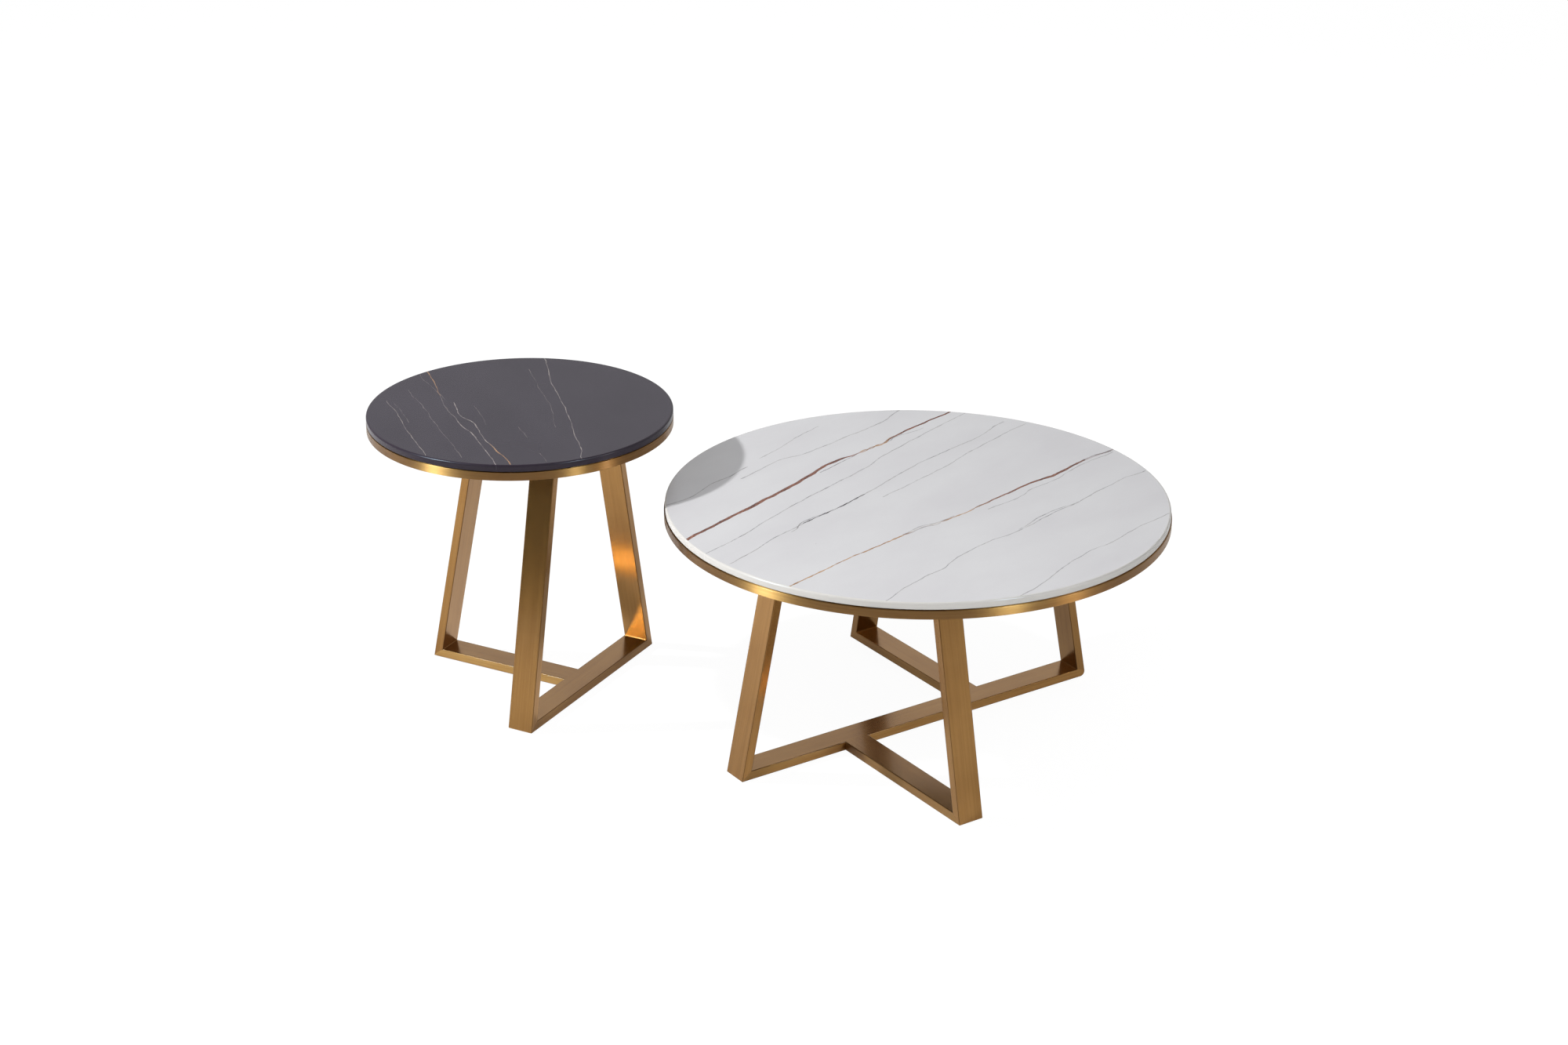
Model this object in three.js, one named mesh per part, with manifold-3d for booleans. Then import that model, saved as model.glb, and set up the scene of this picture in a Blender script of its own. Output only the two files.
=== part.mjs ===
import * as THREE from 'three';
import { mergeVertices } from 'three/addons/utils/BufferGeometryUtils.js';
import Module from 'manifold-3d';

// A pair of nesting tables: a low, wide coffee table and a taller, narrower side table whose
// top slides in over it. Each has a round stone slab on a backing board inside a metal rim,
// and a frame of flat rectangular tube. Millimetres, +Z up, degrees where a name says so.
// The origin is on the floor, in the middle of the space that the pair stands in. +X runs
// from the small table to the large one, and the small table slides along it to nest.

const wasm = await Module();
wasm.setup();

// Overall sizes
const largeTopDiameter = 800;
const largeHeight = 397;
const smallTopDiameter = 500;
const smallHeight = 478;
const standApart = 18; // between the two slabs, seen from above, as the pair stands
const largeTurnDegrees = 50; // from +X to the large table's rail
const smallTurnDegrees = 78; // from +X to the small table's rail

// Round tops
const slabThickness = 11;
const slabRound = 3; // quarter round on the slab's upper edge
const slabArris = 0.8; // small chamfer on the slab's lower edge
const shadowGap = 1.5; // open line between the rim and the slab
const rimHeight = 13.5;
const rimWall = 5;
const largeRimProud = 1.6; // how far the rim stands out past the slab
const smallRimProud = 0.2;
const rimArris = 0.6;
const boardThickness = 10;
const topBarThickness = 4;

// Frame tube
const tubeWidth = 45;
const tubeThickness = 15;
const tubeWall = 1.5;
const tubeCornerRadius = 1.2;

// Plan of the large frame: a rail through the middle and a stub to each side of it
const largeFootInset = 52; // from the slab's edge in to the circle that all four feet end on
const largeStubOffset = 127; // from the middle of the rail to each stub
const largeLeanDegrees = 11.5;

// Plan of the small frame: a rail off the middle and one stub from it
const smallRailOffset = 106; // from the middle of the top to the rail
const smallRailInset = 56; // by which the rail's half length is under the slab's radius
const smallStubInset = 71; // from the slab's edge in to the stub's foot
const smallLeanDegrees = 12;

// Glides under the feet
const glideHeadDiameter = 24;
const glideHeadHeight = 1.5;
const glideStemDiameter = 8;
const glideStemLength = 6;
const glideArris = 0.5;
const glideInset = 44; // from the foot's end to the glide's centre

// Screws that hold the board down to the top bars
const screwHeadDiameter = 9;
const screwHeadHeight = 2.6;
const screwShankDiameter = 4;
const screwTipLength = 2.5;
const screwBiteShare = 0.7; // share of the board that the screw goes into
const screwRimInset = 36; // from the rim's inner face to the outer screw
const screwRootShare = 0.6; // share of the way from an arm's inner end to its leg's inner face

// Fits and facets
const clearance = 0.3; // between pieces that touch
const cutterOverrun = 2;
const weldDistance = 0.0001; // corners closer than this are one corner
const topFacets = 96;
const smallFacets = 16;
const cornerFacets = 3;
const roundFacets = 3;
const domeFacets = 3;

// Heights and sizes that follow
const footHeight = glideHeadHeight + clearance; // underside of the base tubes
const rimBelowSlab = shadowGap + rimHeight;
const topBarBelowSlab = clearance + boardThickness + clearance + topBarThickness;
const screwBite = boardThickness * screwBiteShare;
const screwLength = clearance + topBarThickness + clearance + screwBite;
const largeRadius = largeTopDiameter / 2;
const smallRadius = smallTopDiameter / 2;
const largeFootRadius = largeRadius - largeFootInset;
const largeStubReach = Math.sqrt(largeFootRadius ** 2 - largeStubOffset ** 2);
const smallRailReach = smallRadius - smallRailInset; // from the rail's middle to each foot's end
const smallStubReach = smallRailOffset + smallRadius - smallStubInset; // from the rail's middle line

const rail = { ahead: 0, left: 90, behind: 180, right: 270 };
const degrees = THREE.MathUtils.degToRad;

// Materials, one for each piece
const finishes = {
  brass: { color: 0x9c7443, metalness: 1.0, roughness: 0.36 },
  whiteStone: { color: 0xd6d5da, metalness: 0.0, roughness: 0.22 },
  darkStone: { color: 0x5c5861, metalness: 0.0, roughness: 0.24 },
  board: { color: 0x1d1a18, metalness: 0.0, roughness: 0.8 },
  glide: { color: 0x2a2826, metalness: 0.0, roughness: 0.55 },
  screw: { color: 0x8f9092, metalness: 1.0, roughness: 0.3 },
};

function piece(name, geometry, finish) {
  geometry.computeVertexNormals();
  const mesh = new THREE.Mesh(geometry, new THREE.MeshStandardMaterial(finish));
  mesh.name = name;
  return mesh;
}

// A geometry as a solid that can be cut. Triangles that have shrunk to a line, as at a
// turned shape's pole, are left out.
function toSolid(geometry) {
  const bare = geometry.clone();
  bare.deleteAttribute('normal');
  bare.deleteAttribute('uv');
  const merged = mergeVertices(bare, weldDistance);
  const corners = [];
  for (let i = 0; i < merged.index.count; i += 3) {
    const [a, b, c] = [merged.index.getX(i), merged.index.getX(i + 1), merged.index.getX(i + 2)];
    if (a !== b && b !== c && c !== a) corners.push(a, b, c);
  }
  return new wasm.Manifold(new wasm.Mesh({
    numProp: 3,
    vertProperties: new Float32Array(merged.attributes.position.array),
    triVerts: new Uint32Array(corners),
  }));
}

function toGeometry(solid) {
  const mesh = solid.getMesh();
  const geometry = new THREE.BufferGeometry();
  geometry.setAttribute('position', new THREE.BufferAttribute(mesh.vertProperties, 3));
  geometry.setIndex(new THREE.BufferAttribute(mesh.triVerts, 1));
  return geometry.toNonIndexed();
}

// A shape turned about Z from [radius, height] points, listed with the solid on their left
function turned(points, facets) {
  const profile = points.map(([radius, height]) => new THREE.Vector2(radius, height));
  return new THREE.LatheGeometry(profile, facets).rotateX(Math.PI / 2);
}

function disc(radius, bottom, top, facets) {
  return turned([[0, bottom], [radius, bottom], [radius, top], [0, top]], facets);
}

// Round tops. Their facets start on the row's own axes, so a turned table is as wide as its
// diameter along X and along Y.

function slab(radius, bottom) {
  const top = bottom + slabThickness;
  const points = [[0, bottom], [radius - slabArris, bottom], [radius, bottom + slabArris]];
  for (let i = 0; i <= roundFacets; i += 1) {
    const angle = (i / roundFacets) * (Math.PI / 2);
    const across = radius - slabRound + slabRound * Math.cos(angle);
    points.push([across, top - slabRound + slabRound * Math.sin(angle)]);
  }
  points.push([0, top]);
  return turned(points, topFacets);
}

function rim(radius, bottom) {
  const top = bottom + rimHeight;
  const inner = radius - rimWall;
  return turned([
    [inner, bottom],
    [radius - rimArris, bottom],
    [radius, bottom + rimArris],
    [radius, top - rimArris],
    [radius - rimArris, top],
    [inner, top],
    [inner, bottom],
  ], topFacets);
}

// Screws and their holes

function screw() {
  const head = screwHeadDiameter / 2;
  const shank = screwShankDiameter / 2;
  const points = [];
  for (let i = 0; i <= domeFacets; i += 1) {
    const angle = (1 - i / domeFacets) * (Math.PI / 2);
    points.push([head * Math.cos(angle), -screwHeadHeight * Math.sin(angle)]);
  }
  points[0][0] = 0;
  points.push([shank, 0], [shank, screwLength - screwTipLength], [0, screwLength]);
  return turned(points, smallFacets);
}

function screwHoles(places, headSeat) {
  const bottom = headSeat - cutterOverrun;
  const top = headSeat + screwLength + clearance;
  const hole = disc(screwShankDiameter / 2 + clearance, bottom, top, smallFacets);
  const cutters = places.map((place) => toSolid(hole.clone().translate(place.x, place.y, 0)));
  return cutters.reduce((all, cutter) => all.add(cutter));
}

// Glides

function glide() {
  const head = glideHeadDiameter / 2;
  const stem = glideStemDiameter / 2;
  const end = glideHeadHeight + glideStemLength;
  return turned([
    [0, 0],
    [head - glideArris, 0],
    [head, glideArris],
    [head, glideHeadHeight],
    [stem, glideHeadHeight],
    [stem, end - glideArris],
    [stem - glideArris, end],
    [0, end],
  ], smallFacets);
}

function glideHole(across) {
  const radius = glideStemDiameter / 2 + clearance;
  const bottom = footHeight - cutterOverrun;
  const top = footHeight + tubeWall + cutterOverrun;
  return toSolid(disc(radius, bottom, top, smallFacets).translate(across, 0, 0));
}

// Frame tube. The section lies with its outer face on x = 0 and the tube behind it.

function tubeSection() {
  const [low, high] = [-tubeThickness, 0];
  const half = tubeWidth / 2;
  const r = tubeCornerRadius;
  const quarter = Math.PI / 2;
  const section = new THREE.Shape();
  section.absarc(high - r, half - r, r, 0, quarter);
  section.absarc(low + r, half - r, r, quarter, 2 * quarter);
  section.absarc(low + r, -half + r, r, 2 * quarter, 3 * quarter);
  section.absarc(high - r, -half + r, r, 3 * quarter, 4 * quarter);
  const bore = new THREE.Path();
  bore.moveTo(high - tubeWall, half - tubeWall);
  bore.lineTo(high - tubeWall, -half + tubeWall);
  bore.lineTo(low + tubeWall, -half + tubeWall);
  bore.lineTo(low + tubeWall, half - tubeWall);
  bore.closePath();
  section.holes.push(bore);
  return section;
}

// A straight tube along its own +Z. Each cut is a function that gives the height of that
// end's cut at a place across the tube's thickness.
function tubeBetween(startCut, endCut) {
  const options = { depth: 1, bevelEnabled: false, curveSegments: cornerFacets };
  const geometry = new THREE.ExtrudeGeometry(tubeSection(), options);
  const position = geometry.attributes.position;
  for (let i = 0; i < position.count; i += 1) {
    const cut = position.getZ(i) > 0 ? endCut : startCut;
    position.setZ(i, cut(position.getX(i)));
  }
  return geometry;
}

// The mitre between a leg and its base tube halves the angle between them. It gives how
// far along either tube the cut lies, at a depth in from that tube's outer face.
function mitre(leanDegrees) {
  const halfAngle = degrees(90 - leanDegrees) / 2;
  const setBack = clearance / 2 / Math.sin(halfAngle);
  return (depth) => setBack + depth / Math.tan(halfAngle);
}

// A leg from the foot at x = 0 up to topHeight, leaning in towards -X
function leg(leanDegrees, topHeight) {
  const lean = degrees(leanDegrees);
  const footCut = mitre(leanDegrees);
  const rise = topHeight - footHeight;
  const topCut = (x) => (rise - x * Math.sin(lean)) / Math.cos(lean);
  return tubeBetween((x) => footCut(-x), topCut);
}

// A base tube along X, mitred at its foot on x = reach and, where it has one, at the foot
// on x = -reach. A tube with one foot is cut square where it meets the rail.
function baseTube(leanDegrees, reach, start, glidePlaces) {
  const cut = mitre(leanDegrees);
  const fromUnderside = (x) => tubeThickness + x;
  const footCut = (x) => cut(fromUnderside(x));
  const farCut = start === null
    ? (x) => 2 * reach - cut(fromUnderside(x))
    : () => reach - start;
  const lying = tubeBetween(footCut, farCut)
    .rotateY(-Math.PI / 2)
    .translate(reach, 0, footHeight + tubeThickness);
  const drilled = glidePlaces.reduce((tube, x) => tube.subtract(glideHole(x)), toSolid(lying));
  return toGeometry(drilled);
}

// Plan of a frame. An arm runs out from (x, y) along its heading: it carries one leg, one
// glide and two screws. Start is where its own tubes begin, or null on a rail's arm.

function arm(name, x, y, headingDegrees, reach, start) {
  const heading = degrees(headingDegrees);
  const along = new THREE.Vector2(Math.cos(heading), Math.sin(heading));
  return { name, root: new THREE.Vector2(x, y), heading, along, reach, start };
}

function placeOnArm(one, distance) {
  return one.root.clone().addScaledVector(one.along, distance);
}

// How far an arm's centre line runs from its root to a circle about the table's axis
function distanceToCircle(one, radius) {
  const back = one.root.dot(one.along);
  return -back + Math.sqrt(back ** 2 + radius ** 2 - one.root.lengthSq());
}

function armGroup(one) {
  const group = new THREE.Group();
  group.position.set(one.root.x, one.root.y, 0);
  group.rotation.z = one.heading;
  return group;
}

// A flat bar under the board, from start to end along an arm, with its ends trimmed to fit
// inside the rim
function topBar(one, start, end, bottom, trim, holes) {
  const bar = new THREE.BoxGeometry(end - start, tubeWidth, topBarThickness)
    .translate((start + end) / 2, 0, bottom + topBarThickness / 2)
    .rotateZ(one.heading)
    .translate(one.root.x, one.root.y, 0);
  return toGeometry(toSolid(bar).intersect(trim).subtract(holes));
}

const stubStart = tubeWidth / 2 + clearance;

// The legs end just under the top bars
function legTopHeight(table) {
  return table.height - slabThickness - topBarBelowSlab - clearance;
}

// How far from an arm's root the inner face of its leg is, where the leg ends
function legInnerFace(table, one) {
  const lean = degrees(table.leanDegrees);
  const rise = legTopHeight(table) - footHeight;
  return one.reach - rise * Math.tan(lean) - tubeThickness / Math.cos(lean);
}

function topPieces(table) {
  const { name, height, radius, turn } = table;
  const slabBottom = height - slabThickness;
  const rimRadius = radius + table.rimProud;
  const insideRim = rimRadius - rimWall - clearance;
  const boardTop = slabBottom - clearance;
  const boardBottom = boardTop - boardThickness;
  const barBottom = slabBottom - topBarBelowSlab;
  const headSeat = barBottom - clearance;

  const places = table.arms.flatMap((one) => {
    const root = one.start === null ? 0 : one.start;
    const outer = distanceToCircle(one, insideRim) - screwRimInset;
    const inner = root + (legInnerFace(table, one) - root) * screwRootShare;
    return [placeOnArm(one, inner), placeOnArm(one, outer)];
  });
  const holes = screwHoles(places, headSeat);
  const squareToRow = (geometry) => geometry.rotateZ(-turn);
  const trim = toSolid(squareToRow(disc(insideRim, barBottom - cutterOverrun,
    boardBottom + cutterOverrun, topFacets)));
  const board = toSolid(squareToRow(disc(insideRim, boardBottom, boardTop, topFacets)));

  const pieces = [
    piece(`${name}_top_slab`, squareToRow(slab(radius, slabBottom)), table.stone),
    piece(`${name}_backing_board`, toGeometry(board.subtract(holes)), finishes.board),
    piece(`${name}_rim`, squareToRow(rim(rimRadius, slabBottom - rimBelowSlab)), finishes.brass),
  ];
  const [railArm] = table.arms;
  const railBar = topBar(railArm, -rimRadius, rimRadius, barBottom, trim, holes);
  pieces.push(piece(`${name}_top_rail`, railBar, finishes.brass));
  for (const one of table.arms.filter((each) => each.start !== null)) {
    const bar = topBar(one, one.start, 2 * rimRadius, barBottom, trim, holes);
    pieces.push(piece(`${name}_top_stub_${one.name}`, bar, finishes.brass));
  }
  places.forEach((place, i) => {
    const one = piece(`${name}_screw_${i + 1}`, screw(), finishes.screw);
    one.position.set(place.x, place.y, headSeat);
    pieces.push(one);
  });
  return pieces;
}

function framePieces(table) {
  const { name, leanDegrees } = table;
  const legTop = legTopHeight(table);
  const groups = table.arms.map((one) => {
    const group = armGroup(one);
    const upright = piece(`${name}_leg_${one.name}`, leg(leanDegrees, legTop), finishes.brass);
    upright.position.set(one.reach, 0, footHeight);
    upright.rotation.y = -degrees(leanDegrees);
    const foot = piece(`${name}_glide_${one.name}`, glide(), finishes.glide);
    foot.position.x = one.reach - glideInset;
    group.add(upright, foot);
    if (one.start !== null) {
      const tube = baseTube(leanDegrees, one.reach, one.start, [one.reach - glideInset]);
      group.add(piece(`${name}_base_stub_${one.name}`, tube, finishes.brass));
    }
    return group;
  });
  const [railArm] = table.arms;
  const inset = railArm.reach - glideInset;
  const tube = baseTube(leanDegrees, railArm.reach, null, [inset, -inset]);
  const railGroup = armGroup(railArm);
  railGroup.add(piece(`${name}_base_rail`, tube, finishes.brass));
  return [...groups, railGroup];
}

function tableGroup(table) {
  const group = new THREE.Group();
  group.position.x = table.x;
  group.rotation.z = table.turn;
  group.add(...topPieces(table), ...framePieces(table));
  return group;
}

// The two tables, with the middle of their shared length on x = 0

const centreDistance = largeRadius + standApart + smallRadius;
const outsideDifference = largeRadius + largeRimProud - (smallRadius + smallRimProud);

const largeTable = {
  name: 'large',
  x: (centreDistance - outsideDifference) / 2,
  turn: degrees(largeTurnDegrees),
  height: largeHeight,
  radius: largeRadius,
  rimProud: largeRimProud,
  leanDegrees: largeLeanDegrees,
  stone: finishes.whiteStone,
  arms: [
    arm('right', 0, 0, rail.ahead, largeFootRadius, null),
    arm('left', 0, 0, rail.behind, largeFootRadius, null),
    arm('front', -largeStubOffset, 0, rail.right, largeStubReach, stubStart),
    arm('back', largeStubOffset, 0, rail.left, largeStubReach, stubStart),
  ],
};

const smallTable = {
  name: 'small',
  x: -(centreDistance + outsideDifference) / 2,
  turn: degrees(smallTurnDegrees),
  height: smallHeight,
  radius: smallRadius,
  rimProud: smallRimProud,
  leanDegrees: smallLeanDegrees,
  stone: finishes.darkStone,
  arms: [
    arm('right', 0, -smallRailOffset, rail.ahead, smallRailReach, null),
    arm('front', 0, -smallRailOffset, rail.behind, smallRailReach, null),
    arm('left', 0, -smallRailOffset, rail.left, smallStubReach, stubStart),
  ],
};

const group = new THREE.Group();
group.add(tableGroup(largeTable), tableGroup(smallTable));

export default group;
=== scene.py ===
"""Two nesting tables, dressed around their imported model.

Each table has a round stone slab over a metal rim, on a frame welded from flat tube: a low,
wide table with a white top and a taller, narrower one with a dark top. Metres, Z up, in the
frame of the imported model.
"""

import logging
import math
from dataclasses import dataclass, field
from enum import Enum

import bmesh
import bpy
import numpy as np
from mathutils import Matrix, Vector


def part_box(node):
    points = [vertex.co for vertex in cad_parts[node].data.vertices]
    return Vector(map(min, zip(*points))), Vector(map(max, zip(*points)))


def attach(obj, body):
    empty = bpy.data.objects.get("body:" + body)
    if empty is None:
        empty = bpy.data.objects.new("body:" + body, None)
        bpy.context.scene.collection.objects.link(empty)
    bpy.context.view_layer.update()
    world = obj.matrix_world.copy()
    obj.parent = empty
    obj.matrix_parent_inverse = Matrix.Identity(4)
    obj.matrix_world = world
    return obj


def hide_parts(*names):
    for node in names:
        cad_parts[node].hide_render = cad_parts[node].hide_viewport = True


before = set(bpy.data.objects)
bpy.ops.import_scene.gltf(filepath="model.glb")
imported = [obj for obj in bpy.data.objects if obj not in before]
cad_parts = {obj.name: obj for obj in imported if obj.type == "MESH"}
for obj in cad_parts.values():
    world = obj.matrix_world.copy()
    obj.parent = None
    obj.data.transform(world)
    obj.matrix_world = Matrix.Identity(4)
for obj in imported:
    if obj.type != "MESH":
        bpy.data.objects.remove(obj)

LOG = logging.getLogger("nesting_tables")
MM = 0.001

Point = tuple[float, float]
Colour = tuple[float, float, float, float]


def srgb(red: float, green: float, blue: float) -> Colour:
    """A colour from its 0 to 255 screen values, as the linear one that shaders take."""
    share = np.array([red, green, blue], float) / 255
    linear = np.where(share <= 0.04045, share / 12.92, ((share + 0.055) / 1.055) ** 2.4)
    return (*linear.tolist(), 1.0)


# Surfaces


def fillet(corner: np.ndarray, before: np.ndarray, after: np.ndarray, radius: float,
           steps: int, support: float) -> np.ndarray:
    """Rounds one corner of an outline.

    The arc's centre is on the corner's bisector, radius / sin(half the angle) away, and its
    points turn evenly from one side's normal to the other's. One point more on each side,
    the support away from the arc, holds the sides flat.

    Args:
        corner: the corner.
        before: the outline's point before it.
        after: the outline's point after it.
        radius: the arc's radius.
        steps: how many chords the arc has.
        support: how far from the arc the supporting points lie.

    Returns:
        The points that take the corner's place.
    """
    back = (before - corner) / np.linalg.norm(before - corner)
    ahead = (after - corner) / np.linalg.norm(after - corner)
    half = math.acos(np.clip(back @ ahead, -1, 1)) / 2
    reach = radius / math.tan(half)
    bisector = (back + ahead) / np.linalg.norm(back + ahead)
    centre = corner + bisector * radius / math.sin(half)
    first = corner + back * reach - centre
    last = corner + ahead * reach - centre
    sweep = math.pi - 2 * half
    share = np.linspace(0, 1, steps + 1)[:, None]
    arc = centre + (np.sin((1 - share) * sweep) * first
                    + np.sin(share * sweep) * last) / math.sin(sweep)
    return np.vstack([corner + back * (reach + support), arc,
                      corner + ahead * (reach + support)])


def soft_outline(corners: list[Point], radii: list[float], closed: bool, steps: int = 4,
                 support: float = 0.4 * MM) -> np.ndarray:
    """An outline of straight sides with rounded corners.

    Args:
        corners: the sharp corners in order.
        radii: each corner's radius, 0 for a corner that stays sharp.
        closed: whether the last corner joins the first.
        steps: how many chords each arc has.
        support: how far from each arc its supporting points lie.

    Returns:
        The points in order.
    """
    sharp = np.array(corners, float)
    rows = []
    for i, (corner, radius) in enumerate(zip(sharp, radii)):
        if radius and (closed or 0 < i < len(sharp) - 1):
            after = sharp[(i + 1) % len(sharp)]
            rows.append(fillet(corner, sharp[i - 1], after, radius, steps, support))
        else:
            rows.append(corner[None])
    return np.vstack(rows)


def travelled(points: np.ndarray, closed: bool) -> np.ndarray:
    """The distance covered at each point of a line, and back at the first if it is closed."""
    line = np.vstack([points, points[:1]]) if closed else points
    return np.concatenate([[0.0], np.cumsum(np.linalg.norm(np.diff(line, axis=0), axis=1))])


def grid_mesh(name: str, points: np.ndarray, along: np.ndarray, across: np.ndarray,
              closed_along: bool, closed_across: bool) -> bpy.types.Mesh:
    """Makes a mesh from a grid of points, with a flat map in metres.

    Each cell of the grid is a face between rows i, i + 1 and columns j, j + 1, and its map
    is the rectangle from (along[i], across[j]) to (along[i + 1], across[j + 1]). A row or
    column that has shrunk to one point is welded into a pole.

    Args:
        name: the mesh's name.
        points: the grid, rows by columns by 3.
        along: the map's first coordinate for each row.
        across: the map's second coordinate for each column.
        closed_along: whether the last row joins the first.
        closed_across: whether the last column joins the first.

    Returns:
        The mesh, welded and with its faces outwards.
    """
    rows, columns = points.shape[:2]
    i, j = (index.ravel() for index in np.meshgrid(
        np.arange(rows - (not closed_along)), np.arange(columns - (not closed_across)),
        indexing="ij"))
    next_i, next_j = (i + 1) % rows, (j + 1) % columns
    faces = np.stack([i * columns + j, next_i * columns + j,
                      next_i * columns + next_j, i * columns + next_j], axis=1)
    mesh = bpy.data.meshes.new(name)
    mesh.from_pydata(points.reshape(-1, 3).tolist(), [], faces.tolist())
    flat = np.stack([np.stack([along[i + down], across[j + over]], 1)
                     for down, over in ((0, 0), (1, 0), (1, 1), (0, 1))], axis=1)
    mesh.uv_layers.new(name="UVMap").data.foreach_set("uv", flat.astype(np.float32).ravel())
    close_mesh(mesh)
    return mesh


def close_mesh(mesh: bpy.types.Mesh) -> None:
    """Welds a mesh's seams and poles, drops what has no area, and turns its faces outwards."""
    work = bmesh.new()
    work.from_mesh(mesh)
    bmesh.ops.remove_doubles(work, verts=work.verts, dist=1e-7)
    bmesh.ops.dissolve_degenerate(work, edges=work.edges, dist=1e-8)
    bmesh.ops.recalc_face_normals(work, faces=work.faces)
    work.to_mesh(mesh)
    work.free()


def turned_mesh(name: str, profile: np.ndarray, centre: Vector, segments: int,
                closed: bool, raised: np.ndarray | float = 0) -> bpy.types.Mesh:
    """Turns a profile about an upright axis.

    A point of the profile at radius r and height z goes to (x + r cos a, y + r sin a, z)
    for each of the evenly spaced angles a, and then up by what it is raised. The map runs
    round the axis, then along the profile.

    Args:
        name: the mesh's name.
        profile: points of (radius, height).
        centre: a point on the axis.
        segments: how many steps make the whole turn.
        closed: whether the profile's end joins its start.
        raised: how far each point is raised, angles by points of the profile.

    Returns:
        The mesh.
    """
    angle = np.arange(segments)[:, None] * math.tau / segments
    radius, height = profile.T
    points = np.stack(np.broadcast_arrays(
        centre.x + np.cos(angle) * radius, centre.y + np.sin(angle) * radius,
        height + raised), axis=2)
    along = np.linspace(0, math.tau * radius.max(), segments + 1)
    return grid_mesh(name, points, along, travelled(profile, closed), True, closed)


def new_object(name: str, data: bpy.types.ID) -> bpy.types.Object:
    """A new object in the scene."""
    made = bpy.data.objects.new(name, data)
    bpy.context.scene.collection.objects.link(made)
    return made


def round_box(node: str) -> tuple[Vector, float, float, float]:
    """An upright round solid's middle, its radius, and its lower and upper height."""
    low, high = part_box(node)
    return (low + high) / 2, (high.x - low.x) / 2, low.z, high.z


def add_piece(mesh: bpy.types.Mesh, body: str, material: bpy.types.Material,
              nodes: list[str], sharp: float = 35) -> bpy.types.Object:
    """Puts a finished mesh into the scene.

    Args:
        mesh: the mesh, which also gives the piece its name.
        body: the body it rides on.
        material: its finish.
        nodes: the solids that it stands for.
        sharp: the angle in degrees from which an edge looks sharp.

    Returns:
        The object.
    """
    piece = new_object(mesh.name, mesh)
    mesh.materials.append(material)
    mesh.shade_smooth()
    mesh.set_sharp_from_angle(angle=math.radians(sharp))
    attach(piece, body)
    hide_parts(*nodes)
    LOG.info("%s: %d faces, stands for %s", piece.name, len(mesh.polygons), ", ".join(nodes))
    return piece


# Shader graphs


@dataclass(frozen=True)
class Value:
    """A socket whose value can stand in a sum; each sum adds the Math nodes that it needs."""

    graph: "Graph"
    socket: bpy.types.NodeSocket | None

    def __add__(self, other: "Value | float") -> "Value":
        """This value and another."""
        return self.graph.maths("ADD", self, other)

    def __radd__(self, other: float) -> "Value":
        """A number and this value."""
        return self.graph.maths("ADD", other, self)

    def __sub__(self, other: "Value | float") -> "Value":
        """This value less another."""
        return self.graph.maths("SUBTRACT", self, other)

    def __rsub__(self, other: float) -> "Value":
        """A number less this value."""
        return self.graph.maths("SUBTRACT", other, self)

    def __mul__(self, other: "Value | float") -> "Value":
        """This value times another."""
        return self.graph.maths("MULTIPLY", self, other)

    def __rmul__(self, other: float) -> "Value":
        """A number times this value."""
        return self.graph.maths("MULTIPLY", other, self)

    def __abs__(self) -> "Value":
        """This value without its sign."""
        return self.graph.maths("ABSOLUTE", self)

    def clipped(self) -> "Value":
        """This value kept between 0 and 1."""
        return self.graph.add("Clamp", inputs={"Value": self})

    def most(self, other: "Value | float") -> "Value":
        """The greater of this value and another."""
        return self.graph.maths("MAXIMUM", self, other)

    def scaled(self, *by: float) -> "Value":
        """These coordinates, each multiplied by its own number."""
        return self.graph.vector("MULTIPLY", self, by)

    def axis(self, name: str) -> "Value":
        """One of these coordinates: X, Y or Z."""
        return self.graph.add("SeparateXYZ", inputs={0: self}, output=name)

    def output(self, name: str) -> "Value":
        """Another output of the same node."""
        return Value(self.graph, self.socket.node.outputs[name])


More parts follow.
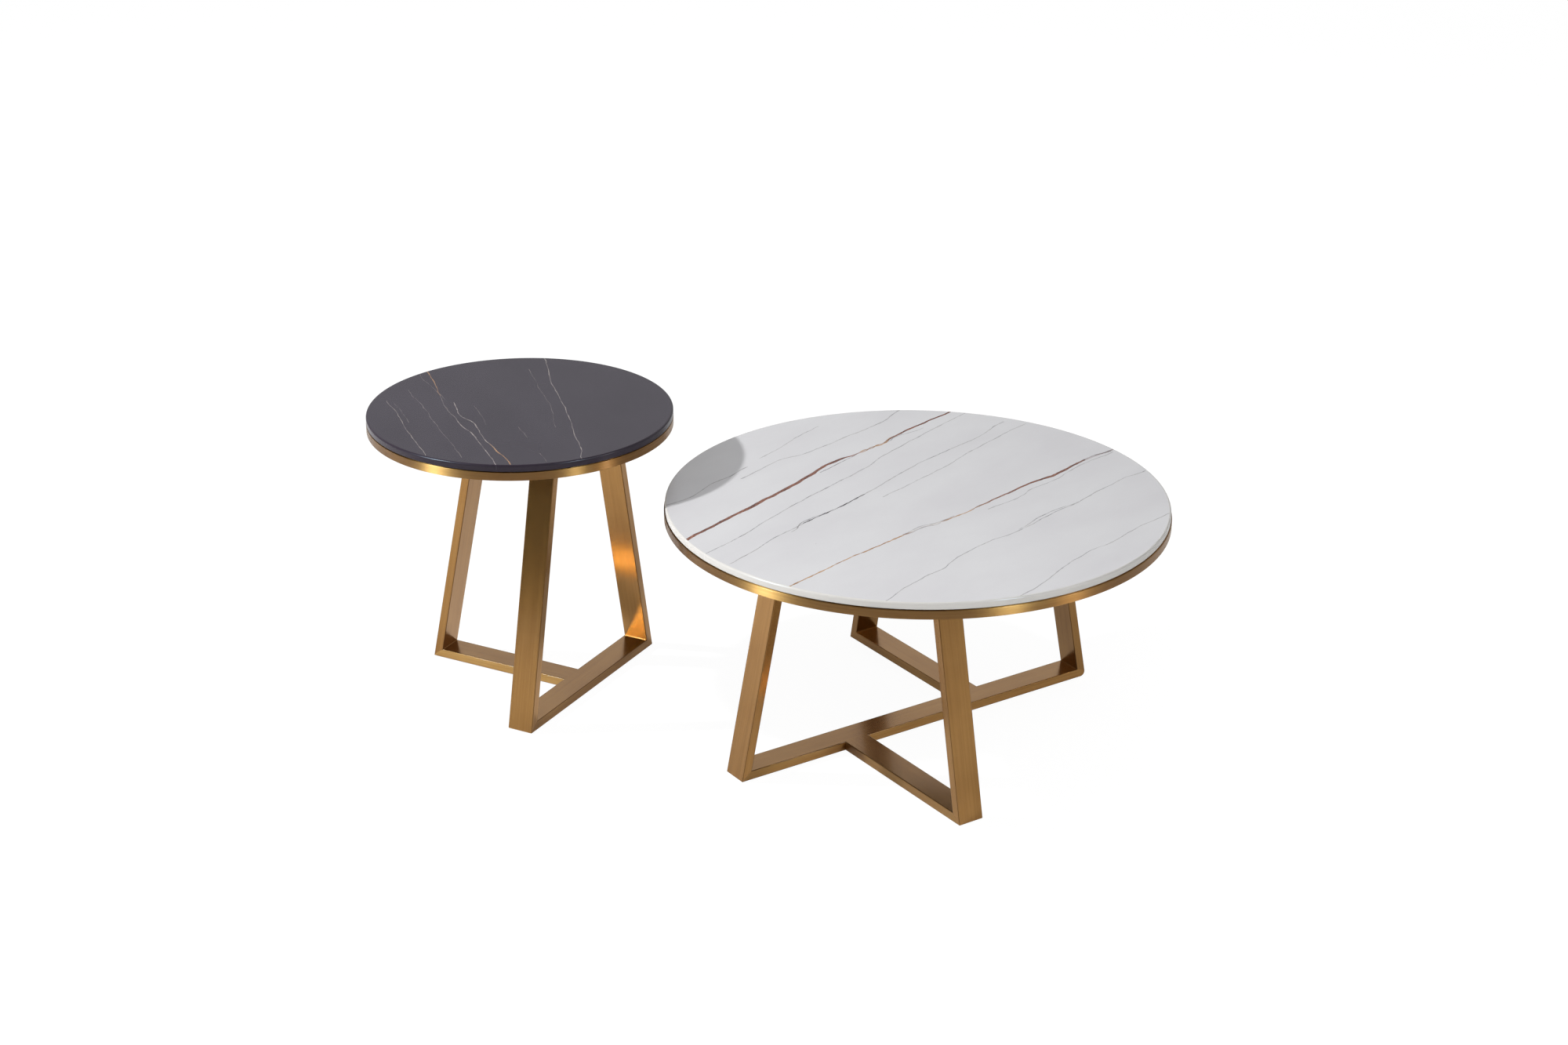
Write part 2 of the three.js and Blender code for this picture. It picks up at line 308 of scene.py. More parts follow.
class Graph:
    """The nodes of one material or world."""

    def __init__(self, tree: bpy.types.NodeTree) -> None:
        """Starts from an empty tree."""
        self.tree = tree
        tree.nodes.clear()

    def add(self, kind: str, settings: dict[str, object] | None = None,
            inputs: dict[str | int, object] | None = None, output: str | int = 0) -> Value:
        """Adds one node.

        Args:
            kind: its type, without the leading ShaderNode.
            settings: its own settings, set before its sockets. Curves are a curve node's
                lists of points.
            inputs: the number, colour or Value for each socket.
            output: the output that is returned.

        Returns:
            The output's value, empty for a node that has none.
        """
        node = self.tree.nodes.new("ShaderNode" + kind)
        for key, setting in (settings or {}).items():
            if key == "curves":
                self._set_curves(node.mapping, setting)
            else:
                setattr(node, key, setting)
        for key, value in (inputs or {}).items():
            if isinstance(value, Value):
                self.tree.links.new(value.socket, node.inputs[key])
            else:
                node.inputs[key].default_value = value
        return Value(self, node.outputs[output] if node.outputs else None)

    @staticmethod
    def _set_curves(mapping: bpy.types.CurveMapping, curves: list[list[Point]]) -> None:
        """Gives a curve node its points, with smooth curves between that don't overshoot."""
        mapping.extend = "HORIZONTAL"
        for curve, points in zip(mapping.curves, curves):
            while len(curve.points) < len(points):
                curve.points.new(0.0, 0.0)
            for point, place in zip(curve.points, points):
                point.location = place
                point.handle_type = "AUTO_CLAMPED"
        mapping.update()

    def maths(self, operation: str, *values: "Value | float") -> Value:
        """One Math node."""
        return self.add("Math", {"operation": operation}, dict(enumerate(values)))

    def vector(self, operation: str, *values: object, output: str = "Vector") -> Value:
        """One Vector Math node."""
        return self.add("VectorMath", {"operation": operation}, dict(enumerate(values)),
                        output)

    def mix(self, share: "Value | float", first: object, second: object) -> Value:
        """Mixes two colours, from the first at 0 to the second at 1."""
        return self.add("Mix", {"data_type": "RGBA"}, {0: share, 6: first, 7: second}, 2)

    def noise(self, place: Value, scale: float, detail: float = 3,
              roughness: float = 0.5) -> Value:
        """Fractal noise from 0 to 1 at a place."""
        return self.add("TexNoise", inputs={"Vector": place, "Scale": scale,
                                            "Detail": detail, "Roughness": roughness})

    def between(self, value: Value, low: float, high: float, first: float = 0,
                last: float = 1) -> Value:
        """Stretches the range from low to high into first to last, and no further."""
        return self.add("MapRange", {"clamp": True}, {
            "Value": value, "From Min": low, "From Max": high, "To Min": first,
            "To Max": last})

    def place(self, source: str, centre: Vector | None = None, turn: float = 0) -> Value:
        """A pattern's coordinates.

        Args:
            source: Object or UV.
            centre: the point that becomes the pattern's origin.
            turn: degrees by which the pattern is turned about Z.

        Returns:
            The coordinates.
        """
        return self.add("Mapping", {"vector_type": "TEXTURE"}, {
            "Vector": self.add("TexCoord", output=source), "Location": centre or (0, 0, 0),
            "Rotation": (0, 0, math.radians(turn))})

    def surface(self, relief: Value, strength: float, depth: float,
                inputs: dict[str, object]) -> None:
        """Ends a material in a surface with a fine relief.

        Args:
            relief: the surface's height as a share of the depth.
            strength: how much of the relief shows.
            depth: how deep it is.
            inputs: the shader's other sockets.
        """
        bump = self.add("Bump", inputs={"Height": relief, "Strength": strength,
                                        "Distance": depth})
        shader = self.add("BsdfPrincipled", inputs={**inputs, "Normal": bump})
        self.add("OutputMaterial", inputs={"Surface": shader})


def new_material(name: str) -> tuple[bpy.types.Material, Graph]:
    """A material with an empty graph."""
    material = bpy.data.materials.new(name)
    material.use_nodes = True
    return material, Graph(material.node_tree)


# Stone


class Tone(Enum):
    """The tints that a vein may have."""

    GREY = "grey"
    DARK = "dark"
    GOLD = "gold"
    RUST = "rust"


GREY, DARK, GOLD, RUST = Tone


@dataclass(frozen=True)
class Vein:
    """One vein's route across a slab.

    Each stop is (along, across, width, strength): the first three in millimetres, the first
    two from the slab's middle in the veins' own direction.
    """

    tone: Tone
    stops: tuple[tuple[float, float, float, float], ...]


@dataclass(frozen=True)
class Stone:
    """A polished veined stone: its ground colours, its veins and their tints.

    Turn is the veins' direction in degrees from X.
    """

    name: str
    light: Colour
    shade: Colour
    edge: Colour
    tints: dict[Tone, tuple[Colour, Colour]]
    veins: tuple[Vein, ...]
    turn: float
    roughness: float
    specular: float

    RANGE = 0.42  # the stops' places are given to the curves as shares of this
    WIDEST = 0.02  # and their widths as shares of this
    WANDER = 8.5 * MM  # how far the noise moves a vein from one side to the other
    SOFT = 0.5 * MM  # the width of a vein's soft edge
    FADE = 1.7 * MM  # how far inside its first and last stop it is cut off
    MARGIN = (3.1 * MM, 2.5 * MM)  # the veins fade out between these from the slab's edge

    def material(self, centre: Vector, radius: float) -> bpy.types.Material:
        """Makes the material for one slab.

        Args:
            centre: the middle of the slab.
            radius: the slab's radius.

        Returns:
            The material.
        """
        material, graph = new_material(self.name)
        place = graph.place("Object", centre, self.turn)
        ground = self._ground(graph, place)
        masks = self._masks(graph, place)
        inside = self._inside(graph, place, radius)
        colour = graph.mix(inside, self.edge, ground)
        tint = graph.noise(place, 38, 2)
        for tone in Tone:
            if tone in masks:
                share = graph.between(tint, 0.36, 0.64)
                if tone is RUST:
                    fleck = graph.noise(place.scaled(1, 2.2, 1), 230, 2)
                    share = (share * 0.5 + graph.between(fleck, 0.45, 0.62) * 0.6).clipped()
                colour = graph.mix(masks[tone] * inside, colour,
                                   graph.mix(share, *self.tints[tone]))
        drift = graph.noise(place, 9, 2)
        mark = masks[GREY]
        grain = graph.noise(place, 900, 2)
        graph.surface(grain - 0.6 * mark, 0.02, 0.2 * MM, {
            "Base Color": colour, "Roughness": self.roughness + 0.05 * drift + 0.08 * mark,
            "Specular IOR Level": self.specular})
        return material

    def _ground(self, graph: Graph, place: Value) -> Value:
        """The ground colour: broad soft clouds that follow the veins, and a fine grain."""
        cloud = graph.between(graph.noise(place.scaled(0.45, 1, 1), 9, 5, 0.55), 0.34, 0.68)
        grain = graph.between(graph.noise(place, 420, 2), 0.3, 0.7)
        return graph.mix(cloud * 0.85 + grain * 0.15, self.light, self.shade)

    def _inside(self, graph: Graph, place: Value, radius: float) -> Value:
        """1 on the flat of the top, 0 on its round and its side, where no vein shows."""
        from_axis = graph.vector("LENGTH", place.scaled(1, 1, 0), output="Value")
        inner, outer = self.MARGIN
        return graph.between(from_axis, radius - inner, radius - outer, 1, 0)

    def _masks(self, graph: Graph, place: Value) -> dict[Tone, Value]:
        """Where the veins of each tone show, from 0 to 1.

        A vein is at most half its width from its centre line, which wanders about its route
        by a fractal noise, and its strength and width come and go with two more.
        """
        wander = graph.noise(place, 22, 4, 0.52)
        along = place.axis("X")
        share = along * (1 / self.RANGE)
        across = along.output("Y") + (wander - 0.5) * self.WANDER
        swell = graph.between(graph.noise(place, 95, 2), 0.3, 0.7, 0.55, 1.45)
        steady = graph.between(graph.noise(place, 45, 2), 0.3, 0.7, 0.85, 1.15)
        break_up = graph.between(graph.noise(place, 60, 4, 0.65), 0.36, 0.55, 0.35, 1)
        masks: dict[Tone, Value] = {}
        for vein in self.veins:
            mask = self._mask(graph, vein, share, across,
                              steady if vein.tone is RUST else swell)
            if vein.tone in (GREY, DARK):
                mask = mask * break_up
            known = masks.get(vein.tone)
            masks[vein.tone] = mask if known is None else known.most(mask)
        return masks

    def _mask(self, graph: Graph, vein: Vein, share: Value, across: Value,
              swell: Value) -> Value:
        """One vein's mask: (half width - distance from its centre) over a soft edge, plus 0.5.

        It is cut off at the vein's first and last stop, because in the render the curves
        carry on past them.

        Args:
            graph: the stone's graph.
            vein: the vein.
            share: the place along the veins, as a share of the range.
            across: the place across the veins.
            swell: what the vein's width is multiplied by.

        Returns:
            The mask, from 0 to the vein's strength.
        """
        stops = np.array(vein.stops) * MM
        along = (stops[:, 0] / self.RANGE).tolist()
        lines = [stops[:, 1] / self.RANGE, stops[:, 2] / self.WIDEST, stops[:, 3] / MM]
        found = graph.add(
            "VectorCurve", {"curves": [list(zip(along, line.tolist())) for line in lines]},
            {"Vector": graph.add("CombineXYZ", inputs={0: share, 1: share, 2: share})},
        ).axis("X")
        half = found.output("Y") * swell * (self.WIDEST / 2)
        away = abs(across - found * self.RANGE)
        mask = ((half - away) * (1 / self.SOFT) + 0.5).clipped() * found.output("Z")
        first, last, fade = along[0], along[-1], self.FADE / self.RANGE
        return (mask * graph.between(share, first, first + fade)
                * graph.between(share, last - fade, last, 1, 0))


def route(tone: Tone, width: float, strength: float, *places: Point) -> Vein:
    """A vein of one width and strength that fades out over 6 mm beyond both ends."""
    stops = [(along, across, width, strength) for along, across in places]
    first, last = places[0], places[-1]
    return Vein(tone, ((first[0] - 6, first[1], width, 0), *stops,
                       (last[0] + 6, last[1], width, 0)))


# The veins' routes, read and thinned to the points that hold each vein's course


WHITE_VEINS = (
    Vein(RUST, ((-372, 166, 5.9, 0), (-364, 167, 6.1, 1), (-46, 190, 6.5, 1),
                     (28, 200, 6.3, 1), (50, 200, 5.5, 1), (83, 194, 3.3, 0.9),
                     (108, 193, 2.5, 0.5), (150, 192, 2.3, 0.4), (185, 195, 3.5, 0.9),
                     (248, 197, 4.5, 1), (347, 195, 4.1, 1), (360, 195, 3.9, 1))),
    Vein(GOLD, ((96, 194, 2, 0), (110, 195.5, 2.4, 1), (124, 190, 2.2, 0.9),
                     (141, 193.5, 2.4, 1), (158, 189.5, 2.2, 0.9), (176, 194.5, 2.4, 1),
                     (192, 196, 2, 0))),
    Vein(GOLD, ((92, 192, 2, 0), (112, 190.5, 2.2, 0.9), (128, 194.5, 2.2, 1),
                     (145, 189, 2.2, 0.9), (165, 193, 2.2, 0.9), (184, 197, 2, 0.6),
                     (198, 197, 2, 0))),
    route(DARK, 1.8, 0.72, (-10, 187), (80, 192)),
    route(GREY, 1.68, 0.72, (171, 190), (190, 193), (250, 182)),
    Vein(GOLD, ((-400, -62, 2.9, 1), (-336, -65, 2.9, 1), (-274, -65, 2.7, 0.9),
                     (-167, -72, 2.9, 1), (-122, -75, 2.7, 0.8), (-100, -75, 1.9, 0.2),
                     (-65, -84, 1.9, 0.35), (-24, -91, 2.7, 0.9), (60, -94, 2.7, 0.9),
                     (110, -96, 2.5, 0.4), (150, -98, 2.3, 0))),
    Vein(RUST, ((30, -92, 3.3, 0), (60, -94, 3.5, 0.7), (110, -96, 4.3, 0.9),
                     (169, -99, 5.1, 1), (207, -106, 5.7, 1), (270, -108, 5.1, 1),
                     (300, -108, 4.3, 0.7), (330, -110, 3.9, 0.3), (384, -118, 3.7, 0.3))),
    Vein(DARK, ((150, -97, 1.3, 0), (207, -105, 2.3, 0.7), (283, -109, 3.3, 0.9),
                     (318, -107, 3.5, 1), (372, -116, 3.5, 1), (384, -118, 3.3, 1))),
    route(GREY, 1.57, 1, (-126, -73), (-94, -72), (-65, -81), (-24, -88)),
    route(GREY, 1.57, 0.86, (-122, -77), (-87, -79), (-60, -88)),
    route(GREY, 1.46, 0.79, (41, -111), (90, -118), (122, -119), (146, -115),
          (205, -122), (249, -117), (304, -117), (366, -122)),
    route(GREY, 1.57, 0.79, (-286, 285), (-229, 278), (-156, 290), (-120, 289), (-76, 294)),
    route(GREY, 1.57, 0.86, (-113, 268), (-14, 273), (25, 262), (154, 255), (222, 254),
          (300, 264)),
    route(GREY, 1.46, 0.65, (-26, 304), (143, 322)),
    route(GREY, 1.57, 0.86, (-386, 111), (-277, 115), (-216, 125), (-64, 138), (46, 144),
          (92, 152), (296, 168), (359, 171)),
    route(GREY, 1.57, 0.86, (-383, 58), (-260, 71), (-69, 73), (150, 90), (277, 87),
          (362, 97)),
    route(DARK, 2.5, 1, (-190, 72.5), (-120, 73), (-69, 73.5), (-44, 74)),
    route(GREY, 1.68, 1, (-228, 66), (-190, 77), (-143, 74)),
    route(GREY, 1.46, 0.72, (-25, 46), (125, 48), (249, 59), (379, 63)),
    route(GREY, 1.57, 0.79, (-339, -204), (-288, -197), (-239, -195), (-196, -198),
          (-169, -192), (-95, -187), (7, -199), (104, -199), (150, -204), (219, -201),
          (277, -201), (330, -210)),
    route(GREY, 1.46, 0.72, (7, -196), (60, -192), (110, -194), (150, -203)),
    route(GREY, 1.01, 0.44, (-241, 7), (-239, 187), (-237, 112), (-236, 329)),
    route(GREY, 1.46, 0.72, (-200, -344), (-1, -328), (65, -333), (134, -333), (203, -338)),
)

DARK_VEINS = (
    Vein(GOLD, ((-232, -110, 1.41, 0.74), (-223, -110, 1.41, 0.74), (-189, -107, 1.32, 0.78),
                     (-122, -110, 1.14, 0.55), (-95, -112, 1.06, 0))),
    Vein(GREY, ((-130, -109, 1.06, 0), (-41, -115, 1.06, 0.41), (-18, -114, 1.06, 0.41),
                     (4, -110, 1.14, 0.46), (45, -107, 1.32, 0.74), (86, -99, 1.32, 0.83),
                     (160, -95, 1.41, 0.87), (227, -93, 1.41, 0.92), (236, -93, 1.41, 0.92))),
    route(GREY, 1.14, 0.78, (-58, -97), (-14, -101), (54, -85), (79, -86), (130, -83),
          (151, -79), (170, -78)),
    Vein(GOLD, ((135, -82, 1.41, 0), (155, -79, 1.67, 0.74), (170, -78, 1.85, 0.83),
                     (219, -71, 1.85, 0.83), (240, -71, 1.85, 0.83))),
    route(GREY, 1.06, 0.75, (-226, 95), (-136, 83), (-25, 73), (13, 72), (45, 67),
          (99, 63), (129, 57), (155, 55), (213, 48), (241, 42)),
    route(GREY, 0.86, 0.63, (-99, -200), (-18, -195), (32, -195), (154, -189)),
    route(GREY, 0.79, 0.29, (-83, -190), (-56, -188), (2, -185)),
    route(GREY, 0.79, 0.38, (-140, -156), (-49, -148), (22, -146), (180, -137)),
    route(GREY, 0.72, 0.25, (-215, -124), (-83, -109)),
    route(GREY, 0.72, 0.29, (-34, -69), (22, -67), (52, -69)),
    route(GREY, 0.72, 0.29, (-177, 57), (-68, 52), (-1, 51), (33, 47), (95, 35)),
    route(GREY, 0.72, 0.33, (84, -22), (127, -18)),
    route(GREY, 0.72, 0.33, (206, -17), (237, -15)),
)

WHITE_STONE = Stone(
    name="white_stone", light=srgb(205, 205, 207), shade=srgb(198, 197, 200),
    edge=srgb(206, 204, 200),
    tints={
        GREY: (srgb(86, 86, 92), srgb(122, 118, 116)),
        DARK: (srgb(44, 38, 42), srgb(76, 68, 70)),
        GOLD: (srgb(136, 98, 62), srgb(176, 142, 104)),
        RUST: (srgb(78, 36, 26), srgb(138, 86, 64)),
    },
    veins=WHITE_VEINS, turn=66, roughness=0.2, specular=0.3)

DARK_STONE = Stone(
    name="dark_stone", light=srgb(54, 49, 59), shade=srgb(47, 42, 52),
    edge=srgb(46, 39, 49),
    tints={
        GREY: (srgb(176, 166, 160), srgb(140, 132, 132)),
        GOLD: (srgb(178, 136, 96), srgb(148, 114, 84)),
    },
    veins=DARK_VEINS, turn=-56, roughness=0.24, specular=0.2)


# Metal and the hidden parts


@dataclass(frozen=True)
class BrushedBrass:
    """Lacquered brass-coloured metal, brushed along the first coordinate of its map.

    The brushing is noise drawn out along the brush and fine across it: bands that change
    the tint, strokes that change the gloss, and hair lines that only tilt the surface. A
    painted dark line runs along each edge, standing in for the shade that its narrow round
    shows. The lacquer is clear and smoother than the metal. Stretched and stretch turn say
    how far the brushing draws out the highlights, and in which direction, as a share of a
    turn.
    """

    name: str
    source: str = "UV"
    turn: float = 0
    stretched: float = 0
    stretch_turn: float = 0
    roughness: float = 0.16
    edges: tuple[float, ...] = ()
    bright: Colour = srgb(164, 123, 69)
    deep: Colour = srgb(136, 95, 48)
    # painted shade: the colour of the dark line along each rounded edge
    edge_shade: Colour = srgb(84, 56, 30)

    def material(self) -> bpy.types.Material:
        """Makes the material."""
        material, graph = new_material(self.name)
        place = graph.place(self.source, turn=self.turn)
        bands = graph.noise(place.scaled(2.5, 190, 190), 1, 3, 0.6)
        strokes = graph.noise(place.scaled(9, 700, 700), 1, 3, 0.6)
        hairs = graph.noise(place.scaled(38, 2600, 2600), 1, 2, 0.6)
        handling = graph.noise(graph.add("TexCoord", output="Object"), 8, 3, 0.55)
        share = (graph.between(bands, 0.32, 0.68) * 0.4
                 + graph.between(strokes, 0.3, 0.7) * 0.3
                 + graph.between(handling, 0.35, 0.65) * 0.3)
        tint = graph.mix(share, self.bright, self.deep)
        roughness = self.roughness + 0.06 * strokes + 0.05 * handling
        if self.edges:
            # painted shade: a dark line along each rounded edge, also rougher there
            line = self._edge_lines(place)
            tint = graph.mix(line * 0.75, tint, self.edge_shade)
            roughness = roughness + 0.15 * line
        graph.surface(0.6 * strokes + 0.4 * hairs, 0.6, 0.12 * MM, {
            "Base Color": tint, "Metallic": 1.0, "Roughness": roughness,
            "Anisotropic": self.stretched, "Anisotropic Rotation": self.stretch_turn,
            "Coat Weight": 0.3, "Coat Roughness": 0.1})
        return material

    def _edge_lines(self, place: Value) -> Value:
        """1 on the line of each edge, 0 from 0.9 mm away: 1.3 less the distance over 0.7 mm."""
        across = place.axis("Y")
        lines = None
        for edge in self.edges:
            away = abs(across - edge)
            line = (1.3 - away * (1 / (0.7 * MM))).clipped()
            lines = line if lines is None else lines.most(line)
        return lines


@dataclass(frozen=True)
class BoardPaint:
    """Black-brown sealed fibreboard: short fibres and the marks of a roller."""

    name: str = "backing_board"

    def material(self) -> bpy.types.Material:
        """Makes the material."""
        material, graph = new_material(self.name)
        place = graph.place("Object")
        fibres = graph.noise(place.scaled(420, 160, 900), 1, 4, 0.6)
        patches = graph.noise(place, 18, 3)
        colour = graph.mix(graph.between(fibres, 0.3, 0.7), srgb(30, 26, 24), srgb(48, 41, 36))
        colour = graph.mix(patches * 0.4, colour, srgb(38, 33, 31))
        graph.surface(fibres, 0.4, 0.2 * MM, {
            "Base Color": colour, "Roughness": 0.62 + 0.2 * patches,
            "Specular IOR Level": 0.3})
        return material


@dataclass(frozen=True)
class GlidePlastic:
    """Moulded black plastic with a fine spark texture."""

    name: str = "glide"

    def material(self) -> bpy.types.Material:
        """Makes the material."""
        material, graph = new_material(self.name)
        place = graph.place("Object")
        spark = graph.noise(place, 2400, 3, 0.6)
        scuff = graph.noise(place.scaled(300, 90, 300), 1, 3)
        colour = graph.mix(graph.between(scuff, 0.5, 0.8), srgb(38, 36, 35), srgb(62, 60, 58))
        graph.surface(spark, 0.3, 0.1 * MM, {
            "Base Color": colour, "Roughness": 0.45 + 0.25 * spark})
        return material


@dataclass(frozen=True)
class ScrewSteel:
    """Zinc-plated steel with a clouded plating and turning marks."""

    name: str = "screw"

    def material(self) -> bpy.types.Material:
        """Makes the material."""
        material, graph = new_material(self.name)
        place = graph.place("Object")
        cloud = graph.noise(place, 260, 3)
        rings = graph.noise(graph.add("TexCoord", output="UV"), 2200, 2)
        colour = graph.mix(cloud, srgb(178, 180, 184), srgb(206, 202, 192))
        graph.surface(rings, 0.2, 0.05 * MM, {
            "Base Color": colour, "Metallic": 1.0, "Roughness": 0.24 + 0.14 * cloud})
        return material


# Tables


@dataclass(frozen=True)
class Tube:
    """The flat tube that a frame is welded from; edge is the radius of its four edges."""

    width: float = 45 * MM
    thickness: float = 15 * MM
    edge: float = 1.2 * MM

    def section(self) -> np.ndarray:
        """The outline as (depth from the outer face, place across), with its edges eased."""
        half = self.width / 2
        corners = [(0, -half), (self.thickness, -half), (self.thickness, half), (0, half)]
        return soft_outline(corners, [self.edge] * 4, True)

    def edge_lines(self) -> tuple[float, ...]:
        """How far round the outline the middle of each rounded edge lies."""
        around = travelled(self.section(), True)
        per_edge = len(self.section()) // 4
        return tuple(float(around[per_edge * i + per_edge // 2]) for i in range(4))


@dataclass(frozen=True)
class Arm:
    """A part of a frame that runs out along the floor to one leg.

    Root is the point of the table's plan that it runs out from, heading its direction in
    degrees from the rail, reach the distance to the leg's foot, and foot round the radius
    of the bend there.
    """

    name: str
    root: Point
    heading: float
    reach: float
    foot_round: float = 1 * MM


@dataclass
class Frame:
    """A table's welded frame: base tubes flat on the floor and legs that lean in.

    Turn is the rail's direction from X and lean the legs' lean, both in degrees.
    """

    table: str
    centre: Vector
    turn: float
    lean: float
    arms: list[Arm]
    bottom: float
    top: float
    tube: Tube = field(default_factory=Tube)

    INNER_ROUND = 0.6 * MM  # the radius on the inner side of each bend

    def directions(self, arm: Arm) -> tuple[np.ndarray, np.ndarray, np.ndarray]:
        """An arm's root, its direction along the floor and its direction across."""
        turn = math.radians(self.turn)
        heading = turn + math.radians(arm.heading)
        u, v = arm.root
        root = np.array([self.centre.x + u * math.cos(turn) - v * math.sin(turn),
                         self.centre.y + u * math.sin(turn) + v * math.cos(turn), 0])
        along = np.array([math.cos(heading), math.sin(heading), 0])
        return root, along, np.array([-along[1], along[0], 0])

    def leg_line(self, reach: float) -> tuple[list[Point], list[Point]]:
        """A leg's outer and inner corners, from its foot to its top, as (along, height)."""
        lean = math.radians(self.lean)
        rise = self.top - self.bottom
        thickness = self.tube.thickness
        mitre = thickness / math.tan((math.pi / 2 - lean) / 2)
        outer_top = reach - rise * math.tan(lean)
        outer = [(reach, self.bottom), (outer_top, self.top)]
        inner = [(reach - mitre, self.bottom + thickness),
                 (outer_top - thickness / math.cos(lean), self.top)]
        return outer, inner

    def run(self, name: str, arm: Arm, outer: list[Point], inner: list[Point],
            rounds: list[float]) -> bpy.types.Mesh:
        """One length of bent tube.

        A point at depth d and place w across it is O + (d / thickness)(N - O) + w W, with O
        and N on the outer and inner line and W the direction across. Both lines have the
        same number of points at each bend, and a pole closes each end.

        Args:
            name: the mesh's name.
            arm: the arm whose plane the lines lie in.
            outer: the outer line's corners as (along, height).
            inner: the inner line's corners.
            rounds: the outer line's radius at each corner.

        Returns:
            The mesh.
        """
        root, along, side = self.directions(arm)
        up = np.array([0, 0, 1.0])
        lines = [
            soft_outline(outer, rounds, False),
            soft_outline(inner, [self.INNER_ROUND * bool(each) for each in rounds], False),
        ]
        outside, inside = (root + line[:, :1] * along + line[:, 1:] * up for line in lines)
        depth, place = self.tube.section().T
        share = (depth / self.tube.thickness)[None, :, None]
        rings = (outside[:, None] * (1 - share) + inside[:, None] * share
                 + place[None, :, None] * side)
        poles = [np.broadcast_to(ring.mean(axis=0), (1, *ring.shape))
                 for ring in (rings[0], rings[-1])]
        points = np.concatenate([poles[0], rings, poles[1]])
        distance = travelled(lines[0], False)
        distance = np.concatenate([distance[:1], distance, distance[-1:]])
        around = travelled(self.tube.section(), True)
        return grid_mesh(name, points, distance, around, False, True)

    def rail(self) -> bpy.types.Mesh:
        """The base rail and the leg at each of its ends, as one bent length."""
        ahead, behind = self.arms[:2]
        outer_ahead, inner_ahead = self.leg_line(ahead.reach)
        outer_behind, inner_behind = (
            [(-along, height) for along, height in line]
            for line in self.leg_line(behind.reach))
        return self.run(f"{self.table}_rail_and_legs", ahead,
                        outer_ahead[::-1] + outer_behind, inner_ahead[::-1] + inner_behind,
                        [0, ahead.foot_round, behind.foot_round, 0])

    def stub(self, arm: Arm) -> bpy.types.Mesh:
        """A base stub and the leg at its end, as one bent length."""
        outer, inner = self.leg_line(arm.reach)
        start = self.tube.width / 2 - self.tube.edge  # where the rail's flat top ends
        outer = [(start, self.bottom)] + outer
        inner = [(start, self.bottom + self.tube.thickness)] + inner
        return self.run(f"{self.table}_stub_and_leg_{arm.name}", arm, outer, inner,
                        [0, arm.foot_round, 0])

    def build(self, brass: bpy.types.Material, side_brass: bpy.types.Material) -> None:
        """Makes the frame's lengths, which stand for the legs and the base tubes.

        Args:
            brass: the finish, brushed for faces that lie flat and for legs.
            side_brass: the same finish, brushed for the upright sides of the base tubes.
        """
        ahead, behind = self.arms[:2]
        lengths = [(self.rail(), [f"leg_{ahead.name}", f"leg_{behind.name}", "base_rail"])]
        lengths += [(self.stub(arm), [f"leg_{arm.name}", f"base_stub_{arm.name}"])
                    for arm in self.arms[2:]]
        for mesh, nodes in lengths:
            piece = add_piece(mesh, f"{self.table}_table", brass,
                              [f"{self.table}_{node}" for node in nodes])
            piece.data.materials.append(side_brass)
            self.mark_sides(piece.data)

    def mark_sides(self, mesh: bpy.types.Mesh) -> None:
        """Gives the second material to upright faces no higher than the base tubes."""
        count = len(mesh.polygons)
        centres, normals = np.empty(count * 3), np.empty(count * 3)
        mesh.polygons.foreach_get("center", centres)
        mesh.polygons.foreach_get("normal", normals)
        low = centres.reshape(-1, 3)[:, 2] < self.bottom + self.tube.thickness
        upright = abs(normals.reshape(-1, 3)[:, 2]) < 0.1
        mesh.polygons.foreach_set("material_index", (low & upright).astype(np.int32))


@dataclass
class RoundTop:
    """A table's slab and the rim under it."""

    table: str
    stone: Stone
    slot: str
    slab_round: float = 3 * MM
    slab_arris: float = 0.8 * MM
    rim_wall: float = 5 * MM
    rim_arris: float = 0.6 * MM
    segments: int = 360

    def build(self, brass: bpy.types.Material) -> None:
        """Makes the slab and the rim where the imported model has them."""
        self._slab()
        self._rim(brass)

    def _slab(self) -> None:
        """The slab: a turned profile with a quarter round above and an arris below."""
        node = f"{self.table}_top_slab"
        centre, radius, low, high = round_box(node)
        profile = soft_outline([(0, low), (radius, low), (radius, high), (0, high)],
                               [0, self.slab_arris, self.slab_round, 0], False, steps=8)
        mesh = turned_mesh(f"{self.table}_stone_top", profile, centre, self.segments, False)
        finish = self.stone.material(centre, radius)
        add_piece(mesh, f"{self.table}_table", finish, [node])

    def _rim(self, brass: bpy.types.Material) -> None:
        """The rim: a flat hoop with its four edges eased."""
        node = f"{self.table}_rim"
        centre, radius, low, high = round_box(node)
        inner = radius - self.rim_wall
        profile = soft_outline([(inner, low), (radius, low), (radius, high), (inner, high)],
                               [self.rim_arris] * 4, True)
        mesh = turned_mesh(f"{self.table}_rim_hoop", profile, centre, self.segments, True)
        add_piece(mesh, f"{self.table}_table", brass, [node])


